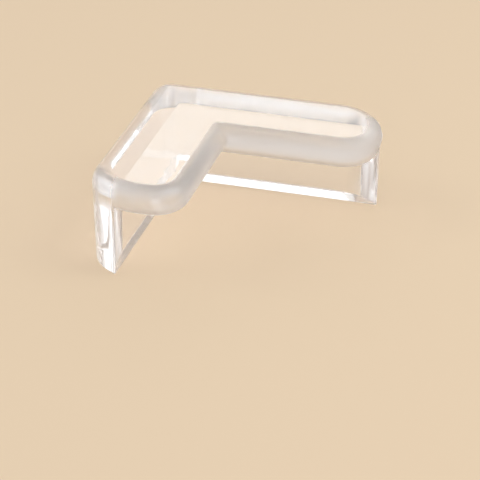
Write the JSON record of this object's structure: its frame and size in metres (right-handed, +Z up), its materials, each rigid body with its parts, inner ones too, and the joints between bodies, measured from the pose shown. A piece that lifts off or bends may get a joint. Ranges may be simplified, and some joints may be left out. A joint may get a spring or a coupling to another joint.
{
  "type": "furniture corner protector",
  "caption": "Clear soft L-shaped corner protector: a rounded plate for the top of a table corner with a wall under each outer edge.",
  "frame": {"origin": "centre of the bounding box in plan, on the plane of the feet of the walls", "axes": "+Z up through the plate, one arm runs towards +X and the other towards -Y, so the outer corner is at -X +Y"},
  "size_m": [0.055, 0.055, 0.0215],
  "materials": {
    "clear_pvc": "clear, glossy, moulded"
  },
  "bodies": {
    "root": {"corner_protector": "clear_pvc"}
  },
  "joints": []
}
